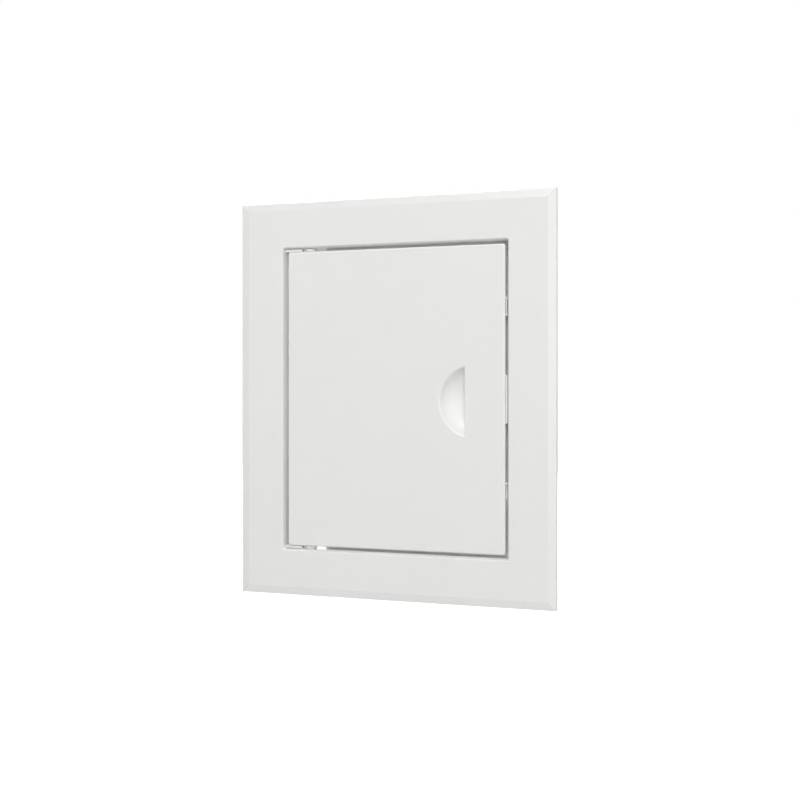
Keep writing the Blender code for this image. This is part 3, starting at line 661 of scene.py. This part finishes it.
leaf_mark_sizes = {
    "Width": 40.0 * MM, "Height": 172.0 * MM, "Middle": -31.0 * MM, "Radius": PIN_MARK_R,
    "Face": SKIN_BACK - PIN_MARK_DEPTH}
start, size = size_tree("leaf_pin_marks", leaf_mark_sizes)
grid = start.node("GeometryNodeMeshGrid", None, {
    "Size X": size["Width"], "Size Y": size["Height"], "Vertices X": 2, "Vertices Y": 5}, "Mesh")
grid = start.node("GeometryNodeTransform", None, {
    "Geometry": grid, "Rotation": (math.radians(90), 0.0, 0.0),
    "Translation": start.point(size["Middle"], size["Face"])})
leaf_marks = grown(
    "leaf_marks", whole_tree(pin_marks(start, grid, size["Radius"]), abs_white), leaf_mark_sizes)

added = [dish(DISH_WALL, PULL_EDGE + DISH_WALL)]
cuts = [dish(0.0, PULL_EDGE)]
pocket_outer = POCKET_HALF + POCKET_WALL
added.append(block(
    (POCKET_LEFT - POCKET_WALL, RIB_FRONT, -pocket_outer), (POCKET_LEFT, LEAF_BACK, pocket_outer)))
for side in (-1, 1):
    added.append(rod(
        HINGE_BOSS_R, (HINGE_X, HINGE_Y, side * HINGE_BOSS_END),
        (HINGE_X, HINGE_Y, side * (LEAF_HIGH.z - SKIRT_T / 2))))
    cuts.append(rod(
        HINGE_HOLE_R, (HINGE_X, HINGE_Y, side * (HINGE_BOSS_END - PAST)),
        (HINGE_X, HINGE_Y, side * (LEAF_HIGH.z + PAST))))
    low, high = sorted((side * POCKET_HALF, side * pocket_outer))
    added.append(block((POCKET_LEFT - SINK, RIB_FRONT, low), (SKIRT_INSIDE + SINK, LEAF_BACK, high)))
    added.append(rod(
        SCREW_BOSS_R, (SCREW_X, RIB_FRONT, side * SCREW_Z), (SCREW_X, LEAF_BACK, side * SCREW_Z)))
    cuts.append(rod(
        SCREW_HOLE_R, (SCREW_X, SCREW_HOLE_END, side * SCREW_Z),
        (SCREW_X, LEAF_BACK + PAST, side * SCREW_Z)))
    cuts.append(block(
        (SKIRT_INSIDE - PAST, BUFFER_SLOT_FRONT, side * BUFFER_Z - BUFFER_SLOT_HALF),
        (LEAF_HIGH.x + PAST, BUFFER_SLOT_BACK, side * BUFFER_Z + BUFFER_SLOT_HALF)))
cuts.append(block(
    (SKIRT_INSIDE - SINK, SKIN_BACK, -TONGUE_NOTCH_HALF),
    (LEAF_HIGH.x + PAST, LEAF_BACK + PAST, TONGUE_NOTCH_HALF)))
steps = [("UNION", upper_rows), ("UNION", lower_rows), ("UNION", columns)]
steps += [("UNION", new_object("boss", shape)) for shape in added]
steps += [("DIFFERENCE", leaf_marks)]
steps += [("DIFFERENCE", new_object("hollow", shape)) for shape in cuts]
finished(leaf_moulding, steps)
dress(leaf_moulding, abs_white, "leaf", "door_leaf")

# Hinges: a bearing clip of white acetal in the gap at each end of the leaf, snapped through the collar's
# wall with a split barb, and a headed pin of the same plastic that goes through the leaf's boss into it.


def skin_of(node, name, edge):
    """A copy of a solid as one clean skin with slightly rounded edges."""
    shape = bmesh.new()
    shape.from_mesh(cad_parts[node].data)
    bmesh.ops.remove_doubles(shape, verts=shape.verts, dist=MM / 1000)
    bmesh.ops.dissolve_limit(
        shape, angle_limit=math.radians(0.4), verts=shape.verts, edges=shape.edges)
    return finished(new_object(name, shape), edge=edge)


CLIP_EDGE = 0.12 * MM
PIN_SIDES = 40
PIN_R = 1.5 * MM
PIN_TIP_ROUND = 0.4 * MM
PIN_HEAD_R = 2.5 * MM
PIN_HEAD_T = 1.5 * MM
PIN_HEAD_ROUND = 0.35 * MM
PIN_BREAK = 0.1 * MM
acetal = moulded_white("acetal_white", (0.84, 0.84, 0.83), 0.28, 0.001 * MM)


def turned(profile):
    """A solid turned about the hinge's axis through pairs of radius and height."""
    return loft([
        [Vector((
            HINGE_X + radius * math.cos(math.tau * i / PIN_SIDES),
            HINGE_Y + radius * math.sin(math.tau * i / PIN_SIDES),
            height)) for i in range(PIN_SIDES)] for radius, height in profile])


for end, side in (("upper", 1), ("lower", -1)):
    clip = skin_of(f"{end}_hinge_socket", f"{end}_socket_clip", CLIP_EDGE)
    dress(clip, acetal, "frame", f"{end}_hinge_socket")
    low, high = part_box(f"{end}_hinge_pin")
    head, tip = (low.z, high.z) if side > 0 else (high.z, low.z)
    pin = new_object(f"{end}_pin", turned((
        (PIN_HEAD_R - PIN_HEAD_ROUND, head),
        (PIN_HEAD_R - PIN_BREAK, head + side * PIN_BREAK),
        (PIN_HEAD_R, head + side * PIN_HEAD_ROUND),
        (PIN_HEAD_R, head + side * (PIN_HEAD_T - PIN_BREAK)),
        (PIN_HEAD_R - PIN_BREAK, head + side * PIN_HEAD_T),
        (PIN_R, head + side * PIN_HEAD_T),
        (PIN_R, tip - side * 1.25 * PIN_TIP_ROUND),
        (PIN_R - 0.3 * PIN_TIP_ROUND, tip - side * 0.5 * PIN_TIP_ROUND),
        (PIN_R - PIN_TIP_ROUND, tip))))
    dress(finished(pin), acetal, "leaf", f"{end}_hinge_pin")

# Catch: an acetal tongue with a ramped nose, which slides in the leaf's pocket, and a flat acetal cover
# that is screwed over it from behind. Both are moulded.

COVER_EDGE = 0.25 * MM
tongue = skin_of("catch_tongue", "tongue", CLIP_EDGE)
dress(tongue, acetal, "tongue", "catch_tongue")
cover = skin_of("catch_cover", "cover_plate", COVER_EDGE)
dress(cover, acetal, "leaf", "catch_cover")

# Spring of the catch: a coil of thin steel wire with closed ends, plated with zinc, that sits on the
# tongue's spigot and pushes the tongue out.

zinc, zinc_shader, start = new_finish("zinc_plate", 0.3, metallic=1.0)
place = start.node("ShaderNodeTexCoord", output="Object")
cloud = noise(start, place, 260.0, 3.0, 0.6)
drawn = noise(start, place, 2600.0, 2.0, 0.5)
plate = start.node("ShaderNodeMix", {"data_type": "RGBA"}, {
    "Factor": cloud.between(0.35, 0.65), "A": (0.60, 0.62, 0.66, 1.0), "B": (0.68, 0.67, 0.62, 1.0)}, 2)
zinc.node_tree.links.new(plate.socket, zinc_shader.inputs["Base Color"])
zinc.node_tree.links.new(
    (0.24 + cloud * 0.12 + drawn * 0.10).socket, zinc_shader.inputs["Roughness"])
scuff = start.node("ShaderNodeBump", None, {"Strength": 0.4, "Distance": 0.002 * MM, "Height": drawn})
zinc.node_tree.links.new(scuff.socket, zinc_shader.inputs["Normal"])

SPRING_LOW, SPRING_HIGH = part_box("catch_spring")
WIRE_R = 0.3 * MM
TURNS = 7
POINTS_A_TURN = 32
spring_sizes = {
    "Start": SPRING_LOW.x + WIRE_R, "Length": SPRING_HIGH.x - SPRING_LOW.x - 2 * WIRE_R,
    "Coil radius": (SPRING_HIGH.z - SPRING_LOW.z) / 2 - WIRE_R, "Wire radius": WIRE_R,
    "Turns": float(TURNS), "Closing": 0.1, "Depth": (SPRING_LOW.y + SPRING_HIGH.y) / 2,
    "Points": TURNS * POINTS_A_TURN}
start, size = size_tree("spring", spring_sizes)
path = start.node("GeometryNodeCurvePrimitiveLine", None, {"End": (1.0, 0.0, 0.0)})
path = start.node("GeometryNodeResampleCurve", {"mode": "COUNT"}, {
    "Curve": path, "Count": size["Points"]})
along = start.node("GeometryNodeSplineParameter", output="Factor")
angle = along * size["Turns"] * math.tau
whole_turn = along * math.tau
travel = along - whole_turn.maths("SINE", whole_turn) * size["Closing"]
coil = start.point(
    size["Start"] + size["Length"] * travel,
    size["Depth"] + size["Coil radius"] * angle.maths("COSINE", angle),
    size["Coil radius"] * angle.maths("SINE", angle))
path = start.node("GeometryNodeSetPosition", None, {"Geometry": path, "Position": coil})
wire = start.node("GeometryNodeCurvePrimitiveCircle", None, {
    "Resolution": 12, "Radius": size["Wire radius"]})
spring_tree = whole_tree(start.node("GeometryNodeCurveToMesh", None, {
    "Curve": path, "Profile Curve": wire, "Fill Caps": True}), zinc)
spring = finished(grown("coil_spring", spring_tree, spring_sizes), sharp=50.0)
dress(spring, zinc, "leaf", "catch_spring")
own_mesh(spring)

# Cover screws: two small self-tapping screws with a domed head and a cross recess, of the same plated
# steel, driven into the bosses beside the pocket.

HEAD_R = 2.2 * MM
HEAD_T = 1.5 * MM
HEAD_BREAK = 0.1 * MM
HEAD_BRIM = 0.45 * MM
HEAD_SIDES = 40
CROSS_REACH = 1.25 * MM
CROSS_HALF = 0.32 * MM
CROSS_DEPTH = 0.85 * MM
CROSS_FOOT = 0.55
CROSS_OVER = 0.05 * MM
head_profile = [(HEAD_R - HEAD_BREAK, 0.0), (HEAD_R, HEAD_BREAK), (HEAD_R, HEAD_BRIM)]
for turn in (15, 30, 45, 60, 72, 82):
    angle = math.radians(turn)
    head_profile.append((HEAD_R * math.cos(angle), HEAD_BRIM + (HEAD_T - HEAD_BRIM) * math.sin(angle)))
head_turns = [math.tau * i / HEAD_SIDES for i in range(HEAD_SIDES)]
screw_head = new_object("screw_head", loft([
    [Vector((radius * math.cos(turn), height, radius * math.sin(turn))) for turn in head_turns]
    for radius, height in head_profile]))
cross = []
for wide, high in ((CROSS_REACH, CROSS_HALF), (CROSS_HALF, CROSS_REACH)):
    corners = [(wide, high), (-wide, high), (-wide, -high), (wide, -high)]
    cross.append(loft([
        [Vector((x * taper, depth, z * taper)) for x, z in corners]
        for taper, depth in ((CROSS_FOOT, HEAD_T - CROSS_DEPTH), (1.0, HEAD_T + CROSS_OVER))]))
finished(screw_head, [("DIFFERENCE", new_object("cross", shape)) for shape in cross])

THREAD_SHARE = 0.9
THREAD_END = 0.98
CORE_IN_HEAD = HEAD_T * 0.2
SCREW_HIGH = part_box("catch_screw_upper")[1]
screw_sizes = {
    "Place x": SCREW_X, "Seat": SCREW_HIGH.y - HEAD_T, "Place z": SCREW_Z, "Length": 5.1 * MM,
    "Core radius": 0.80 * MM, "Crest": 0.17 * MM, "Pitch": 0.8 * MM}
start, size = size_tree("screw", screw_sizes)
head = start.node("GeometryNodeObjectInfo", None, {"Object": screw_head}, "Geometry")
core = start.node("GeometryNodeMeshCylinder", None, {
    "Vertices": 32, "Radius": size["Core radius"], "Depth": size["Length"] + CORE_IN_HEAD}, "Mesh")
core = start.node("GeometryNodeTransform", None, {
    "Geometry": core, "Translation": start.point(z=size["Length"] * -0.5 + CORE_IN_HEAD / 2)})
threaded = size["Length"] * THREAD_SHARE
worm = start.node("GeometryNodeCurveSpiral", None, {
    "Resolution": 32, "Rotations": threaded / size["Pitch"], "Start Radius": size["Core radius"],
    "End Radius": size["Core radius"], "Height": threaded})
ridge = start.node("GeometryNodeCurvePrimitiveCircle", None, {"Resolution": 4, "Radius": size["Crest"]})
worm = start.node("GeometryNodeCurveToMesh", None, {
    "Curve": worm, "Profile Curve": ridge, "Fill Caps": True})
worm = start.node("GeometryNodeTransform", None, {
    "Geometry": worm, "Translation": start.point(z=size["Length"] * -THREAD_END)})
shank = start.node("GeometryNodeJoinGeometry", None, {"Geometry": [core, worm]})
shank = start.node("GeometryNodeTransform", None, {
    "Geometry": shank, "Rotation": (math.radians(-90), 0.0, 0.0)})
screw = start.node("GeometryNodeJoinGeometry", None, {"Geometry": [head, shank]})
screw_tree = whole_tree(start.node("GeometryNodeTransform", None, {
    "Geometry": screw, "Translation": start.point(size["Place x"], size["Seat"], size["Place z"])}), zinc)
for name, side in (("upper", 1), ("lower", -1)):
    piece = grown(f"{name}_screw", screw_tree, screw_sizes | {"Place z": side * SCREW_Z})
    dress(finished(piece), zinc, "leaf", f"catch_screw_{name}")
bpy.data.objects.remove(screw_head)

# Edge buffers: two short pads of pale soft plastic on the leaf's free edge, each buttoned through a slot
# in the skirt. A round pip is moulded on either end of the pad, at its front, and stands a little proud.

PAD_EDGE = 0.15 * MM
PIP_R = 0.9 * MM
PIP_PROUD = 0.35 * MM
pad_grey = moulded_white("pad_grey", (0.84, 0.84, 0.83), 0.6, 0.002 * MM)
for end in ("upper", "lower"):
    pad = skin_of(f"{end}_edge_buffer", f"{end}_buffer", PAD_EDGE)
    low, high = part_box(f"{end}_edge_buffer")
    across, deep = high.x - PIP_R + PIP_PROUD, low.y + PIP_R
    pips = []
    for height in (low.z + PIP_R, high.z - PIP_R):
        pip = bmesh.new()
        bmesh.ops.create_uvsphere(pip, u_segments=24, v_segments=16, radius=PIP_R)
        bmesh.ops.translate(pip, vec=(across, deep, height), verts=pip.verts)
        pips.append(("UNION", new_object("pip", pip)))
    dress(finished(pad, pips), pad_grey, "leaf", f"{end}_edge_buffer")

# The room: a pale floor well below the panel, a plain white background, a key lamp high in front, three
# weaker lamps in front, beside the camera and on the right, and one behind for the back.

FLOOR_DROP = 0.25
FLOOR_HALF = 4.0
WORLD_LIGHT = 0.08
LAMP_REACH = 3.8
PANEL_CENTRE = Vector((0.0, 0.0, 0.0))

floor_shape = bmesh.new()
bmesh.ops.create_grid(floor_shape, x_segments=1, y_segments=1, size=FLOOR_HALF)
bmesh.ops.translate(floor_shape, vec=(0, 0, solid_box[0].z - FLOOR_DROP), verts=floor_shape.verts)
floor = new_object("floor", floor_shape)
floor_paint = bpy.data.materials.new("floor_paint")
floor_paint.use_nodes = True
floor_paint.node_tree.nodes.clear()
start = Term(floor_paint.node_tree)
rays = start.node("ShaderNodeLightPath", output="Is Camera Ray")
diffuse = start.node("ShaderNodeBsdfDiffuse", None, {"Color": (0.8, 0.8, 0.8, 1.0)})
lift = start.node("ShaderNodeEmission", None, {"Color": (1.0, 1.0, 1.0, 1.0), "Strength": rays})
both = start.node("ShaderNodeAddShader", None, {0: diffuse, 1: lift})
output = floor_paint.node_tree.nodes.new("ShaderNodeOutputMaterial")
floor_paint.node_tree.links.new(both.socket, output.inputs["Surface"])
floor.data.materials.append(floor_paint)

world = bpy.data.worlds.new("studio")
bpy.context.scene.world = world
world.use_nodes = True
start = Term(world.node_tree)
rays = start.node("ShaderNodeLightPath", output="Is Camera Ray")
seen = rays.maths("MAXIMUM", rays, rays.other("Is Glossy Ray"))
seen = seen.maths("MAXIMUM", seen, rays.other("Is Transmission Ray"))
background = world.node_tree.nodes["Background"]
background.inputs["Color"].default_value = (1.0, 1.0, 1.0, 1.0)
strength = WORLD_LIGHT + seen * (1.0 - WORLD_LIGHT)
world.node_tree.links.new(strength.socket, background.inputs["Strength"])


def lamp(name, way, size, power):
    """A square soft light that looks at the panel's centre from one way, at the lamps' distance."""
    data = bpy.data.lights.new(name, "AREA")
    data.shape = "SQUARE"
    data.size = size
    data.energy = power
    light = bpy.data.objects.new(name, data)
    light.location = PANEL_CENTRE + Vector(way).normalized() * LAMP_REACH
    light.rotation_euler = (PANEL_CENTRE - light.location).to_track_quat("-Z", "Y").to_euler()
    bpy.context.scene.collection.objects.link(light)


lamp("key", (0.12, -1.0, 1.05), 1.5, 70.0)
lamp("front", (0.45, -1.0, 0.50), 2.4, 26.0)
lamp("fill", (0.30, -1.0, -0.05), 1.5, 17.0)
lamp("side", (1.4, -1.0, 0.5), 2.0, 10.0)
lamp("back", (-0.5, 1.0, 0.60), 2.0, 60.0)

# The camera: a little to the right of the panel and level with it, looking along the wall's normal turned
# by CAMERA_TURN, with the picture shifted so that its horizon lies where the photograph has it.

CAMERA_TURN = math.radians(16.5)
CAMERA_DISTANCE = 651.6 * MM
CAMERA_ASIDE = 4.7 * MM
CAMERA_ABOVE = 7.7 * MM
SENSOR = 36.0
FOCAL_PIXELS = 982.4
PICTURE_PIXELS = 800
HORIZON_ROW = 387.4
ahead = Vector((-math.sin(CAMERA_TURN), math.cos(CAMERA_TURN), 0.0))
aside = Vector((math.cos(CAMERA_TURN), math.sin(CAMERA_TURN), 0.0))
view = bpy.data.cameras.new("view")
view.sensor_width = SENSOR
view.lens = FOCAL_PIXELS / PICTURE_PIXELS * SENSOR
view.shift_y = (HORIZON_ROW - PICTURE_PIXELS / 2) / PICTURE_PIXELS
camera = bpy.data.objects.new("view", view)
camera.location = (
    PANEL_CENTRE - ahead * CAMERA_DISTANCE + aside * CAMERA_ASIDE + Vector((0.0, 0.0, CAMERA_ABOVE)))
camera.rotation_euler = (math.radians(90), 0.0, CAMERA_TURN)
bpy.context.scene.collection.objects.link(camera)
bpy.context.scene.camera = camera
bpy.context.scene.view_settings.view_transform = "Standard"
